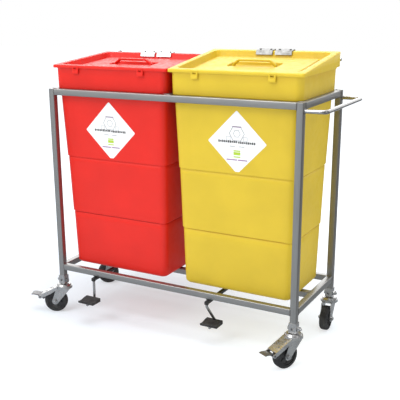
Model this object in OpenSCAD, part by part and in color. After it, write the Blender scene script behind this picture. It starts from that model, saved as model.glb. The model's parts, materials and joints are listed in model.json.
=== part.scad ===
// Two-bin pedal waste trolley: a square-tube frame on four swivel castors, the front two with
// brakes, holds two tapered plastic bins. Each bin has a hinged wedge lid, opened by its own foot pedal through
// a pivoted lever, a sliding push rod and a crank on the lid's hinge tube.
// Front is -Y, the push handle is at +X, the floor is Z = 0.

/* [Frame] */
// Outer width of the tube frame, along X
frame_w = 872; // [868:1:880]
// Outer depth of the tube frame, along Y
frame_d = 340; // [338:1:346]
// Height of the top face of the top rails
rail_top = 780; // [770:1:790]
// Height of the top face of the bottom rails
shelf_top = 178; // [176:1:182]
// Side of the square tube
tube = 20; // [19:0.5:20]
// Wall of the square tube
tube_wall = 1.5; // [1:0.1:2]
// Height of the lower end of the legs
leg_foot = 130; // [128:1:132]
// Diameter of the push handle rod
handle_d = 12; // [10:0.5:14]
// Distance from the leg's outer face to the centre of the handle bar
handle_reach = 60; // [45:1:75]
// Height of the push handle
handle_z = 757; // [740:1:765]
// Bend radius of the push handle
handle_bend = 14; // [12:1:25]

/* [Bins] */
// Distance between the centres of the two bins
bin_pitch = 430; // [429:0.5:431]
// Half width and half depth of a bin at its foot
bin_foot = [181, 121];
// Half width and half depth of a bin under its collar
bin_neck = [200, 146];
// Height of a bin's lower moulded step line
step_low = 365; // [340:1:390]
// Height of a bin's upper moulded step line
step_high = 556; // [530:1:580]
// Depth of a moulded step line
step_in = 2; // [1:0.1:3]
// Vertical corner radius of a bin
bin_corner = 22; // [18:1:28]
// Wall of a bin
bin_wall = 3; // [2.5:0.1:3.5]
// Half width and half depth of the collar at its foot
collar_foot = [206, 148];
// Half width and half depth of the collar at its top
collar_top = [207.5, 148.2];
// Height of the bin's rim
rim_top = 850; // [848:1:851]
// Side of the square warning label
label_side = 134; // [100:1:138]
// Height of the label's centre
label_z = 651; // [650:1:665]
// Sideways shift of the red bin's label and of the yellow one's
label_shift = [-4, 11];

/* [Lids] */
// Half width and half depth of a lid
lid_half = [214, 152.5];
// Height of a lid's front top edge
lid_front = 855; // [854:1:858]
// Height of the red lid's rear top edge
red_rear = 878; // [872:1:885]
// Height of the yellow lid's rear top edge
yellow_rear = 895; // [885:1:896]
// Wall of a lid
lid_wall = 2.5; // [2:0.1:3]
// Width of a lid's flat border
border_w = 20; // [16:1:24]
// Depth of the recessed tray under the border
tray_depth = 21; // [18:1:23]
// Lean of the tray's walls, from mouth to floor
tray_lean = 7; // [5:0.5:14]
// Height of the raised pad above the tray floor
pad_rise = 8; // [5:1:11]
// Half span of the lid's arch handle at its feet
grip_half = 71; // [60:1:80]
// Distance of a snap latch from the lid's middle
latch_x = 121.5; // [100:0.5:140]

/* [Lid opening gear] */
// Height of the hinge rod
hinge_z = 868; // [867:1:869]
// Distance of the hinge rod behind the frame's centre
hinge_y = 190; // [189:1:191]
// Diameter of the hinge rod
hinge_d = 10; // [9:0.5:10]
// Outer diameter of the hinge tube on a lid
hinge_tube_d = 16; // [15:0.5:17]
// Half length of the hinge tube on a lid
hinge_tube_half = 69; // [68:1:72]
// Shift of a lid's clips from the lid's middle, to the right
clip_shift = 7; // [0:1:7]
// Distance of the crank pin from the hinge rod
crank_r = 28; // [27.5:0.1:28.5]
// Diameter of the crank pin and of the lever pin
link_pin_d = 6; // [5:0.5:6]
// Diameter of the push rod
rod_d = 7; // [6:0.5:7]
// Distance of the push rod behind the frame's centre
rod_y = 175; // [174.5:0.1:175.5]
// Angle that a pedal lever turns through
pedal_turn = 11.5; // [10:0.1:11.5]
// Distance of the lever's pivot in front of the frame's centre
pivot_y = -5; // [-6:0.5:-4]
// Height of the lever's pivot
pivot_z = 150; // [149:0.5:150]
// Drop of the lever's rear pin below its pivot
lever_drop = 38; // [36:1:40]
// Distance of a lever from the middle of its bin
lever_x = 68; // [60:1:80]
// Width of a foot pad
pad_w = 56; // [40:1:60]
// Rear edge of the red pedal's pad, and its height
red_pad = [-183, 76];
// Rear edge of the yellow pedal's pad, and its height
yellow_pad = [-122, 62];

/* [Castors] */
// Diameter of a castor wheel
wheel_d = 80; // [78:1:80]
// Width of a castor wheel
wheel_w = 26; // [22:1:26]
// Distance of the axle from the swivel axis
trail = 31; // [30:1:32]
// Standing angles of the castors: front left, front right, rear left, rear right
castor_turn = [-156, -118, -150, -87];

/* [Hidden] */

// The origin is on the floor in the middle of the whole outline, castors and handle included
origin_shift = [19, 36.5, 0];
eps = 1;
smooth = 64;
hull_fn = 32;

// Colours
steel = [0.60, 0.60, 0.59];
zinc = [0.72, 0.72, 0.71];
black = [0.06, 0.06, 0.065];
red = [0.87, 0.09, 0.06];
yellow = [0.93, 0.74, 0.10];
white = [0.96, 0.96, 0.95];

// Places of the frame's tubes
leg_x = (frame_w - tube) / 2;
leg_y = (frame_d - tube) / 2;
rail_x = leg_x - tube / 2;
rail_y = leg_y - tube / 2;
left = -1;
right = 1;
front = -1;
rear = 1;

// Bins and lids: side is left for the red bin, right for the yellow one
function bin_x(side) = side * bin_pitch / 2;
function lid_rear(side) = side == left ? red_rear : yellow_rear;
function lid_rise(side) = lid_rear(side) - lid_front;
function lid_tilt(side) = atan(lid_rise(side) / (2 * lid_half[1]));
function lid_top(side, y) = lid_front + lid_rise(side) * (y + lid_half[1]) / (2 * lid_half[1]);
function bin_half(z) = bin_foot + (bin_neck - bin_foot) * (z - shelf_top) / (rail_top - shelf_top);
lip_foot = 846;
lid_lift = 1;
lid_corner = 8;
face_lean = atan((bin_neck[1] - bin_foot[1]) / (rail_top - shelf_top));

// The pedal lever lifts the rod; the rod's travel and the crank's length set the lid's opening
lever_r = rod_y - pivot_y;
rod_travel = lever_r * sin(pedal_turn) + lever_drop * (1 - cos(pedal_turn));
crank_start = asin(rod_travel / (2 * crank_r));
lid_open = 2 * crank_start;
crank_y = hinge_y - crank_r * cos(crank_start);
crank_z = hinge_z - crank_r * sin(crank_start);
link_play = 0.9;
running = 0.06;
rod_side = 8;
lever_w = 10;
lever_h = 10;
eye_t = 4;
arm_d = 8;
pad_depth = 50;
bracket_t = 6;
bracket_xs = [-395, -35, 35, 395];

// Castor heights
axle_z = wheel_d / 2;
axle_d = 8;
stem_d = 12;
race_top = 104;
crown_top = 98;
crown_foot = 89;
crown_r = 28;
gap = 0.3;
cheek_in = 14;
cheek_t = 3;
socket = 24;
socket_foot = 106;
socket_top = 136;
bolt_z = 118;
bolt_d = 8;
apron_half = 20;
brake_at = [84, 57];
brake_pin_d = 5;
names_x = [left, right, left, right];
names_y = [front, front, rear, rear];

// ---------- shared shapes ----------

module place() translate(origin_shift) children();

// Rectangle with true round corners, given by its half sizes
module rounded(half, r) {
    square([2 * half[0] - 2 * r, 2 * half[1]], center = true);
    square([2 * half[0], 2 * half[1] - 2 * r], center = true);
    for (x = [-1, 1], y = [-1, 1])
        translate([x * (half[0] - r), y * (half[1] - r)])
            circle(r, $fn = smooth);
}

// Tapered block between two rounded rectangles
module taper(z0, half0, z1, half1, r0, r1) {
    hull() {
        translate([0, 0, z0])
            slab(half0, r0);
        translate([0, 0, z1 - 0.01])
            slab(half1, r1);
    }
}

module slab(half, r) {
    linear_extrude(0.01)
        for (x = [-1, 1], y = [-1, 1])
            translate([x * (half[0] - r), y * (half[1] - r)])
                circle(r, $fn = hull_fn);
}

// Square tube along X, Y or Z, centred on its length
module tube_x(length) {
    rotate([0, 90, 0])
        tube_z(length);
}

module tube_y(length) {
    rotate([90, 0, 0])
        tube_z(length);
}

module tube_z(length) {
    difference() {
        cube([tube, tube, length], center = true);
        cube([tube - 2 * tube_wall, tube - 2 * tube_wall, length + eps], center = true);
    }
}

// Round bar along X, from x0 to x1
module bar_x(d, x0, x1) {
    translate([x0, 0, 0])
        rotate([0, 90, 0])
            cylinder(d = d, h = x1 - x0, $fn = smooth);
}

// Round rod in the YZ plane through a list of [y, z] points, upset a little at each bend
module rod_path(points, d) {
    upset = 0.5;
    for (i = [0 : len(points) - 2]) {
        span = points[i + 1] - points[i];
        translate([0, points[i][0], points[i][1]])
            rotate([atan2(-span[0], span[1]), 0, 0])
                cylinder(d = d, h = norm(span), $fn = smooth);
    }
    for (i = [1 : len(points) - 2])
        translate([0, points[i][0], points[i][1]])
            sphere(d = d + upset, $fn = smooth);
}

// Flat shape drawn in [y, z], given a thickness along X and centred on x
module plate_yz(x, t) {
    translate([x - t / 2, 0, 0])
        rotate([90, 0, 90])
            linear_extrude(t)
                children();
}

// Hexagon nut or bolt head along X
module hex_x(across, x0, x1) {
    translate([x0, 0, 0])
        rotate([0, 90, 0])
            cylinder(d = across / cos(30), h = x1 - x0, $fn = 6);
}

// ---------- frame ----------

module leg(side, depth) {
    place()
        color(steel)
            translate([side * leg_x, depth * leg_y, (rail_top + leg_foot) / 2])
                tube_z(rail_top - leg_foot);
}

module top_long_rails() {
    place()
        color(steel)
            for (y = [-leg_y, leg_y])
                translate([0, y, rail_top - tube / 2])
                    tube_x(2 * rail_x);
}

module top_short_rails() {
    place()
        color(steel)
            for (x = [-leg_x, 0, leg_x])
                translate([x, 0, rail_top - tube / 2])
                    tube_y(2 * rail_y);
}

module bottom_long_rails() {
    place()
        color(steel)
            for (y = [-leg_y, pivot_y, leg_y])
                translate([0, y, shelf_top - tube / 2])
                    tube_x(2 * rail_x);
}

module bottom_short_rails() {
    place()
        color(steel)
            for (x = [-leg_x, leg_x])
                translate([x, 0, shelf_top - tube / 2])
                    tube_y(2 * rail_y);
}

module leg_caps() {
    cap_t = 2;
    inside = tube - 2 * tube_wall;
    place()
        color(steel)
            for (x = [-leg_x, leg_x], y = [-leg_y, leg_y])
                translate([x, y, rail_top - cap_t / 2])
                    cube([inside, inside, cap_t], center = true);
}

module push_handle() {
    face = frame_w / 2;
    arm = handle_reach - handle_bend;
    bar = 2 * (leg_y - handle_bend);
    place()
        color(steel)
            translate([face, 0, handle_z]) {
                for (side = [-1, 1]) {
                    translate([0, side * leg_y, 0])
                        bar_x(handle_d, 0, arm);
                    translate([arm, side * (leg_y - handle_bend), 0])
                        rotate([0, 0, side > 0 ? 0 : -90])
                            rotate_extrude(angle = 90, $fn = smooth)
                                translate([handle_bend, 0])
                                    circle(d = handle_d, $fn = smooth);
                }
                translate([handle_reach, bar / 2, 0])
                    rotate([90, 0, 0])
                        cylinder(d = handle_d, h = bar, $fn = smooth);
            }
}

// ---------- castor fittings on the frame ----------

module castor_sockets() {
    height = socket_top - socket_foot;
    hole_d = 9.5;
    hole_depth = 5.5;
    place()
        color(zinc)
            for (x = [-leg_x, leg_x], y = [-leg_y, leg_y])
                translate([x, y, 0])
                    difference() {
                        translate([0, 0, socket_foot + height / 2])
                            cube([socket, socket, height], center = true);
                        translate([0, 0, leg_foot + tube / 2])
                            cube(tube, center = true);
                        translate([0, 0, socket_foot - eps])
                            cylinder(d = stem_d, h = height, $fn = smooth);
                        translate([0, 0, bolt_z])
                            bar_x(bolt_d + 0.2, -socket, socket);
                        translate([0, hole_depth - socket / 2, bolt_z])
                            rotate([90, 0, 0])
                                cylinder(d = hole_d, h = socket, $fn = smooth);
                    }
}

module socket_bolts() {
    face = socket / 2;
    washer_t = 1.6;
    place()
        color(zinc)
            for (side = [left, right], y = [-leg_y, leg_y])
                translate([side * leg_x, y, bolt_z])
                    rotate([0, 0, side == right ? 0 : 180]) {
                        bar_x(bolt_d, -face, face + 12);
                        hex_x(13, -face - 5.3, -face);
                        bar_x(16, face, face + washer_t);
                        hex_x(13, face + washer_t, face + washer_t + 6.5);
                    }
}

module castor_stems() {
    race_foot = crown_top + gap;
    place()
        color(zinc)
            for (x = [-leg_x, leg_x], y = [-leg_y, leg_y])
                translate([x, y, 0])
                    difference() {
                        union() {
                            translate([0, 0, crown_foot - gap])
                                cylinder(d = stem_d, h = leg_foot - crown_foot + gap, $fn = smooth);
                            translate([0, 0, crown_foot - gap - 3.5])
                                cylinder(d1 = 12, d2 = 17, h = 3.5, $fn = smooth);
                            translate([0, 0, race_foot])
                                cylinder(r1 = 26, r2 = 22, h = race_top - race_foot, $fn = smooth);
                            translate([0, 0, race_top])
                                cylinder(d = 20, h = socket_foot - race_top, $fn = smooth);
                        }
                        translate([0, 0, bolt_z])
                            bar_x(bolt_d + 0.2, -stem_d, stem_d);
                    }
}

// ---------- castors: each is drawn along +X, then turned and set under its leg ----------

module at_castor(i) {
    place()
        translate([names_x[i] * leg_x, names_y[i] * leg_y, 0])
            rotate([0, 0, castor_turn[i]])
                children();
}

// Flat shape drawn in [x, z], given a thickness along Y and centred on y
module plate_xz(y, t) {
    translate([0, y + t / 2, 0])
        rotate([90, 0, 0])
            linear_extrude(t)
                children();
}

// Top line of the sloping apron over the wheel, as [x, z] ends
apron = [[21, 96], [80, 67]];
apron_t = 2.5;

module castor_fork(i) {
    cheek_y = cheek_in + cheek_t / 2;
    braked = i < 2;
    cheek_front = braked ? 25 : 34;
    at_castor(i)
        color(zinc)
            difference() {
                union() {
                    translate([0, 0, crown_foot])
                        cylinder(r = crown_r, h = crown_top - crown_foot, $fn = smooth);
                    for (y = [-cheek_y, cheek_y])
                        plate_xz(y, cheek_t)
                            hull() {
                                translate([-24, crown_foot])
                                    square([24 + cheek_front, 2]);
                                translate([trail, axle_z])
                                    circle(11, $fn = smooth);
                            }
                    if (braked)
                        brake_apron();
                }
                translate([0, 0, crown_foot - eps])
                    cylinder(d = stem_d + 2 * running, h = 12, $fn = smooth);
                translate([trail, 0, axle_z])
                    rotate([90, 0, 0])
                        cylinder(d = axle_d + 0.1, h = 60, center = true, $fn = smooth);
                translate([brake_at[0], 0, brake_at[1]])
                    rotate([90, 0, 0])
                        cylinder(d = brake_pin_d + 2 * running, h = 60, center = true, $fn = smooth);
            }
}

// Sloping apron over the wheel, with the ears and rivets that carry the brake lever
module brake_apron() {
    ear_t = 2.5;
    thick = [0, apron_t];
    fall = (apron[0][1] - apron[1][1]) / (apron[1][0] - apron[0][0]);
    plate_xz(0, 2 * apron_half)
        polygon([apron[0], apron[1], apron[1] - thick, apron[0] - thick]);
    for (y = [-1, 1])
        plate_xz(y * (apron_half - ear_t / 2), ear_t)
            union() {
                polygon([apron[0] - thick, apron[1] - thick, brake_at + [5.5, 3],
                    brake_at + [-3, -5.5], [44, 70], [21, 86]]);
                translate(brake_at)
                    circle(6.3, $fn = smooth);
            }
    for (spot = [[38, 8], [50, -8], [62, 8]])
        translate([spot[0], spot[1], apron[0][1] - fall * (spot[0] - apron[0][0])])
            cylinder(d = 5, h = 2.5, $fn = smooth);
}

module castor_axle(i) {
    nut_in = cheek_in + cheek_t;
    at_castor(i)
        color(zinc)
            translate([trail, 0, axle_z])
                rotate([0, 0, 90]) {
                    bar_x(axle_d, -nut_in - 8, nut_in + 8);
                    hex_x(13, nut_in, nut_in + 6);
                    hex_x(13, -nut_in - 6, -nut_in);
                }
}

module castor_hub(i) {
    boss_w = 2 * cheek_in - 1;
    at_castor(i)
        color([0.2, 0.2, 0.21])
            translate([trail, 0, axle_z])
                rotate([90, 0, 0])
                    difference() {
                        union() {
                            cylinder(r = wheel_d / 2 - 12, h = wheel_w - 6, center = true, $fn = smooth);
                            cylinder(r = 11, h = boss_w, center = true, $fn = smooth);
                        }
                        cylinder(d = axle_d + 2 * running, h = wheel_w * 2, center = true, $fn = smooth);
                    }
}

module castor_tyre(i) {
    inner = wheel_d / 2 - 12;
    round_r = 5;
    at_castor(i)
        color(black)
            translate([trail, 0, axle_z])
                rotate([90, 0, 0])
                    rotate_extrude($fn = 2 * smooth)
                        intersection() {
                            translate([wheel_d / 2 - 20, 0])
                                rounded([20, wheel_w / 2], round_r);
                            translate([inner, -wheel_w])
                                square([wheel_w, 2 * wheel_w]);
                        }
}

module brake_lever(i) {
    pin_half = apron_half + 1.5;
    at_castor(i)
        color([0.33, 0.33, 0.34])
            translate([brake_at[0], 0, brake_at[1]]) {
                rotate([0, 0, 90])
                    bar_x(brake_pin_d, -pin_half, pin_half);
                rotate([0, 0, 90])
                    bar_x(10, -apron_half + 3, apron_half - 3);
                plate_xz(0, 30)
                    polygon([[-1, 4.9], [11, 8], [22, 9.5], [30, 9.2], [33, 7.6], [31, 6.2], [22, 6.4],
                        [11, 4.4], [3, -1]]);
                plate_xz(0, 20)
                    polygon([[-3, 3], [3, -3], [-9, -11.2], [-11.2, -9]]);
                translate([-10, 0, -10])
                    rotate([0, 0, 90])
                        bar_x(3, -10, 10);
            }
}

// ---------- hinge rod, guides and pivots on the frame ----------

module hinge_rod() {
    over = 419;
    place()
        color(zinc)
            translate([0, hinge_y, hinge_z])
                bar_x(hinge_d, -over, over);
}

module hinge_brackets() {
    boss_r = 11;
    foot = [[leg_y - 8, rail_top], [leg_y + 8, rail_top]];
    place()
        color(steel)
            for (x = bracket_xs)
                plate_yz(x, bracket_t)
                    difference() {
                        union() {
                            polygon([foot[0], foot[1], [hinge_y + 10.5, hinge_z - 3],
                                [hinge_y - 10, hinge_z + 4.5]]);
                            translate([hinge_y, hinge_z])
                                circle(boss_r, $fn = smooth);
                        }
                        translate([hinge_y, hinge_z])
                            circle(d = hinge_d, $fn = smooth);
                    }
}

function pad_at(side) = side == left ? red_pad : yellow_pad;
function rod_x(side) = bin_x(side) - lever_x - rod_side;

module rod_guides() {
    guide = [16, 13, 12];
    back = leg_y + tube / 2;
    place()
        color(steel)
            for (side = [left, right], z = [shelf_top - 16, rail_top - 16])
                difference() {
                    translate([rod_x(side) - guide[0] / 2, back, z])
                        cube(guide);
                    translate([rod_x(side), rod_y, z - eps])
                        cylinder(d = rod_d + 2 * running, h = guide[2] + 2 * eps, $fn = smooth);
                }
}

module pivot_brackets() {
    under = shelf_top - tube;
    boss_r = 7.8;
    cheek = 4;
    play = 1;
    place()
        color(steel)
            for (side = [left, right], hand = [-1, 1])
                plate_yz(bin_x(side) - lever_x + hand * (lever_w / 2 + play + cheek / 2), cheek)
                    difference() {
                        union() {
                            translate([pivot_y - 9, pivot_z])
                                square([18, under - pivot_z]);
                            translate([pivot_y, pivot_z])
                                circle(boss_r, $fn = smooth);
                        }
                        translate([pivot_y, pivot_z])
                            circle(d = 8 + 0.1, $fn = smooth);
                    }
}

module pivot_pins() {
    half = lever_w / 2 + 5 + 1;
    place()
        color(zinc)
            for (side = [left, right])
                translate([bin_x(side) - lever_x, pivot_y, pivot_z]) {
                    bar_x(8, -half, half);
                    bar_x(12, half - 0.8, half + 1.8);
                    bar_x(12, -half - 1.8, -half + 0.8);
                }
}

module pedal_stops() {
    under = shelf_top - tube;
    thick = under - pivot_z - lever_h / 2 - gap;
    place()
        color(black)
            for (side = [left, right])
                translate([bin_x(side) - lever_x - 8, -leg_y - 9, under - thick])
                    cube([16, 18, thick]);
}

// ---------- bins ----------

module bin(side) {
    paint = side == left ? red : yellow;
    wall = [bin_wall, bin_wall];
    nick = [step_in, step_in];
    place()
        color(paint)
            translate([bin_x(side), 0, 0])
                difference() {
                    union() {
                        taper(shelf_top, bin_foot - [4, 4], shelf_top + 6, bin_half(shelf_top + 6),
                            bin_corner - 4, bin_corner);
                        taper(shelf_top + 6, bin_half(shelf_top + 6), step_low,
                            bin_half(step_low) - nick, bin_corner, bin_corner);
                        taper(step_low, bin_half(step_low), step_high, bin_half(step_high) - nick,
                            bin_corner, bin_corner);
                        taper(step_high, bin_half(step_high), rail_top + 1, bin_neck, bin_corner,
                            bin_corner);
                        taper(rail_top, collar_foot, rim_top, collar_top, bin_corner + 2,
                            bin_corner);
                        translate([0, 0, rim_top - 5])
                            linear_extrude(5)
                                rounded(collar_top + [2, 1.3], bin_corner);
                    }
                    taper(shelf_top + bin_wall, bin_foot - wall - [2, 2], rail_top + bin_wall,
                        bin_neck - wall, bin_corner - 3, bin_corner - 3);
                    taper(rail_top + bin_wall, collar_foot - wall, rim_top + eps, collar_top - wall,
                        bin_corner - 3, bin_corner - 3);
                }
}

// Diamond label lying on the leaning front wall
module label(side) {
    thick = 0.6;
    face = bin_half(label_z)[1];
    place()
        color(white)
            translate([bin_x(side) + label_shift[side == left ? 0 : 1], -face, label_z])
                rotate([90 + face_lean, 0, 0])
                    rotate([0, 0, 45])
                        translate([0, 0, thick / 2 + 0.05])
                            cube([label_side, label_side, thick], center = true);
}

// ---------- lids ----------

// Frame of the lid's tilted top plane: Y runs back from the front edge, Z is square to the plane
module on_top(side) {
    translate([0, -lid_half[1], lid_front])
        rotate([lid_tilt(side), 0, 0])
            children();
}

// Space below the lid's top plane, lowered by drop
module below_top(side, drop) {
    plate_yz(0, 3 * lid_half[0])
        polygon([[-2 * lid_half[1], 700], [2 * lid_half[1], 700],
            [2 * lid_half[1], lid_top(side, 2 * lid_half[1]) - drop],
            [-2 * lid_half[1], lid_top(side, -2 * lid_half[1]) - drop]]);
}

module lid_outline(half, r, z) {
    translate([0, 0, z])
        linear_extrude(100)
            rounded(half, r);
}

// Tapered tub of the tray, in the plane's own frame
module tray(side, grow, depth, over) {
    half_y = lid_half[1] / cos(lid_tilt(side));
    mouth = [lid_half[0], half_y] - [border_w, border_w] + [grow, grow];
    on_top(side)
        translate([0, half_y, 0])
            taper(-depth, mouth - [tray_lean, tray_lean], over,
                mouth + [over, over] * tray_lean / depth, 14 + grow, 18 + grow);
}

module lid(side) {
    paint = side == left ? red : yellow;
    wall = [lid_wall, lid_wall];
    half_y = lid_half[1] / cos(lid_tilt(side));
    latch_w = 22;
    latch_t = 2.5;
    latch_drop = 17;
    place()
        color(paint)
            translate([bin_x(side), 0, 0]) {
                difference() {
                    intersection() {
                        lid_outline(lid_half, lid_corner, lip_foot);
                        below_top(side, 0);
                    }
                    difference() {
                        intersection() {
                            lid_outline(lid_half - wall, lid_corner - lid_wall, lip_foot - eps);
                            below_top(side, lid_wall);
                        }
                        tray(side, lid_wall, tray_depth + lid_wall, 0);
                    }
                    tray(side, 0, tray_depth, 1);
                    translate([-300, 100, rim_top - 20])
                        cube([600, 100, 20 + lid_lift]);
                }
                difference() {
                    union() {
                        lid_tub_floor(side);
                        lid_pad(side, half_y, 0, 0);
                    }
                    lid_pad(side, half_y, lid_wall, eps);
                }
                lid_grip(side);
                for (x = [-latch_x, latch_x])
                    translate([x - latch_w / 2, -lid_half[1] - latch_t, lip_foot - latch_drop])
                        cube([latch_w, latch_t + 1, latch_drop + 7]);
            }
}

// Part of the tub that hangs below the lip, inside the rim
module lid_tub_floor(side) {
    difference() {
        tray(side, lid_wall, tray_depth + lid_wall, -1);
        tray(side, 0, tray_depth, 1);
    }
}

// Raised pad with a finger pocket; inset by a wall and lowered, it is the hollow under the pad
module lid_pad(side, half_y, inset, under) {
    pad = [lid_half[0] - 48, half_y - 50] - [inset, inset];
    pocket = [grip_half + 10, 30] + [inset, inset];
    on_top(side)
        translate([0, half_y, -tray_depth - (under > 0 ? lid_wall : 0)])
            difference() {
                taper(-0.5 - under, pad + [6, 6], pad_rise, pad, 14, 12);
                translate([-pocket[0], -pocket[1], 0.2 - 3 * under])
                    cube([2 * pocket[0], 2 * pocket[1], pad_rise + 1 + 3 * under]);
            }
}

// Arch handle standing across the middle of the pad
module lid_grip(side) {
    foot = lid_top(side, 0) - tray_depth - 1.5;
    top = lid_top(side, 0) + 3;
    knee = foot + 8;
    thick = 7;
    lean = 18;
    width = 14;
    translate([0, width / 2, 0])
        rotate([90, 0, 0])
            linear_extrude(width)
                difference() {
                    polygon([[-grip_half, foot], [-grip_half, knee], [lean - grip_half, top],
                        [grip_half - lean, top], [grip_half, knee], [grip_half, foot]]);
                    polygon([[thick - grip_half, foot - 1], [thick - grip_half, knee - 2],
                        [lean + 4 - grip_half, top - thick], [grip_half - lean - 4, top - thick],
                        [grip_half - thick, knee - 2], [grip_half - thick, foot - 1]]);
                }
}

// ---------- lid hinge ----------

clip_span = [4, 60];
clip_t = 3;
clip_leaf = 11;

// Strap folded over the lid's rear border and run back to the hinge tube, drawn in [y, z]
module clip_shape(side) {
    near = lid_half[1] - border_w - 0.6;
    outer = lid_half[1] + 0.2;
    drop = clip_leaf * [-tray_lean / tray_depth, -1];
    polygon([over_lid(side, near, 0) + drop, over_lid(side, near, 0), over_lid(side, outer, 0),
        [outer, rim_top + 5], [outer + clip_t, rim_top + 5], [outer + clip_t, hinge_z - 3],
        [hinge_y, hinge_z - 3], [hinge_y, hinge_z + 3], [outer + clip_t, hinge_z + 3],
        over_lid(side, outer + clip_t, clip_t), over_lid(side, near - clip_t, clip_t),
        over_lid(side, near, 0) + drop - [clip_t, 0]]);
}

// Point [y, z] at a height over the lid's top, with a hair of room under the clip
function over_lid(side, y, up) = [y, lid_top(side, y) + 0.2 + up];

module lid_clips(side) {
    width = clip_span[1] - clip_span[0];
    place()
        color(zinc)
            for (hand = [-1, 1])
                difference() {
                    plate_yz(bin_x(side) + clip_shift + hand * (clip_span[0] + width / 2), width)
                        clip_shape(side);
                    translate([bin_x(side), hinge_y, hinge_z])
                        bar_x(hinge_tube_d, -100, 100);
                }
}

module clip_screws(side) {
    head_h = 2.2;
    y = lid_half[1] - border_w / 2;
    place()
        color(black)
            for (hand = [-1, 1], x = [clip_span[0] + 10, clip_span[1] - 10])
                translate([bin_x(side) + clip_shift + hand * x, y, lid_top(side, y) + clip_t + 0.2])
                    rotate([lid_tilt(side), 0, 0])
                        cylinder(d1 = 8, d2 = 5, h = head_h, $fn = smooth);
}

module hinge_tube(side) {
    crank_x = -lever_x - rod_side + eye_t / 2 + 2;
    crank_t = 6;
    place()
        color(zinc)
            translate([bin_x(side), 0, 0])
                difference() {
                    union() {
                        translate([0, hinge_y, hinge_z])
                            bar_x(hinge_tube_d, crank_x + crank_t / 2, hinge_tube_half);
                        plate_yz(crank_x + crank_t / 2, crank_t)
                            hull() {
                                translate([hinge_y, hinge_z])
                                    circle(11, $fn = smooth);
                                translate([crank_y, crank_z])
                                    circle(6.5, $fn = smooth);
                            }
                        translate([0, crank_y, crank_z])
                            bar_x(link_pin_d, crank_x - 8, crank_x + 1);
                    }
                    translate([0, hinge_y, hinge_z])
                        bar_x(hinge_d + 2 * running, -100, 100);
                }
}

// ---------- push rod and pedal ----------

// Slot for a link pin between two Y positions at one height
module slot(y0, y1, z) {
    d = link_pin_d + 2 * link_play;
    for (y = [y0, y1])
        translate([y, z])
            circle(d = d, $fn = smooth);
    translate([y0, z - d / 2])
        square([y1 - y0, d]);
}

module push_rod(side) {
    pin_z = pivot_z - lever_drop;
    yoke_h = 16;
    pin_back = lever_r * (cos(pedal_turn) - 1) + lever_drop * sin(pedal_turn);
    place()
        color(zinc) {
            translate([rod_x(side), rod_y, pin_z + yoke_h / 2 - 2])
                cylinder(d = rod_d, h = crank_z - pin_z - yoke_h + 4, $fn = smooth);
            plate_yz(rod_x(side), eye_t)
                difference() {
                    translate([hinge_y - crank_r - 7.5, crank_z - yoke_h / 2])
                        square([rod_y + rod_d / 2 - hinge_y + crank_r + 7.5, yoke_h]);
                    slot(hinge_y - crank_r, crank_y, crank_z);
                }
            plate_yz(rod_x(side), eye_t)
                difference() {
                    translate([rod_y - 7.5, pin_z - yoke_h / 2])
                        square([15 + pin_back, yoke_h]);
                    slot(rod_y, rod_y + pin_back, pin_z);
                }
        }
}

module pedal_lever(side) {
    nose = -185;
    tail = [rod_y, pivot_z - lever_drop];
    tail_h = 8;
    place()
        color(black)
            translate([bin_x(side) - lever_x, 0, 0])
                difference() {
                    union() {
                        plate_yz(0, lever_w)
                            union() {
                                translate([nose, pivot_z - lever_h / 2])
                                    square([pivot_y - nose, lever_h]);
                                translate([pivot_y, pivot_z])
                                    circle(7, $fn = smooth);
                                hull() {
                                    translate([pivot_y, pivot_z])
                                        circle(d = tail_h, $fn = hull_fn);
                                    translate(tail)
                                        circle(d = tail_h, $fn = hull_fn);
                                }
                            }
                        translate([0, tail[0], tail[1]])
                            bar_x(link_pin_d, -rod_side - eye_t, 0);
                    }
                    translate([0, pivot_y, pivot_z])
                        bar_x(8 + 2 * running, -lever_w, lever_w);
                }
}

module pedal_arm(side) {
    edge = pad_at(side);
    behind = edge[0] + 5;
    under_pad = edge[1] - arm_d / 2;
    place()
        color(zinc)
            translate([bin_x(side) - lever_x, 0, 0])
                rod_path([[-178, pivot_z - lever_h / 2], [-178, 136], [behind, edge[1] + 2],
                    [behind, under_pad], [edge[0] - pad_depth + 11, under_pad]], arm_d);
}

module pedal_pad(side) {
    edge = pad_at(side);
    place()
        color(black)
            plate_yz(bin_x(side) - lever_x, pad_w)
                translate(edge)
                    polygon([[0, 0], [0, 13], [-14, 12.5], [-31, 9], [-42, 8.5],
                        [-pad_depth, 11], [-pad_depth, 4], [7 - pad_depth, 0]]);
}

leg(left, front);  // leg_front_left
leg(right, front);  // leg_front_right
leg(left, rear);  // leg_rear_left
leg(right, rear);  // leg_rear_right
top_long_rails();
top_short_rails();
bottom_long_rails();
bottom_short_rails();
leg_caps();
push_handle();
castor_sockets();
socket_bolts();
castor_stems();
hinge_rod();
hinge_brackets();
rod_guides();
pivot_brackets();
pivot_pins();
pedal_stops();
bin(left);  // red_bin
label(left);  // red_label
lid(left);  // red_lid
lid_clips(left);  // red_lid_clips
clip_screws(left);  // red_clip_screws
hinge_tube(left);  // red_hinge_tube
push_rod(left);  // red_push_rod
pedal_lever(left);  // red_pedal_lever
pedal_arm(left);  // red_pedal_arm
pedal_pad(left);  // red_pedal_pad
bin(right);  // yellow_bin
label(right);  // yellow_label
lid(right);  // yellow_lid
lid_clips(right);  // yellow_lid_clips
clip_screws(right);  // yellow_clip_screws
hinge_tube(right);  // yellow_hinge_tube
push_rod(right);  // yellow_push_rod
pedal_lever(right);  // yellow_pedal_lever
pedal_arm(right);  // yellow_pedal_arm
pedal_pad(right);  // yellow_pedal_pad
castor_fork(0);  // fork_front_left
castor_axle(0);  // axle_front_left
castor_hub(0);  // hub_front_left
castor_tyre(0);  // tyre_front_left
brake_lever(0);  // brake_lever_front_left
castor_fork(1);  // fork_front_right
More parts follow.
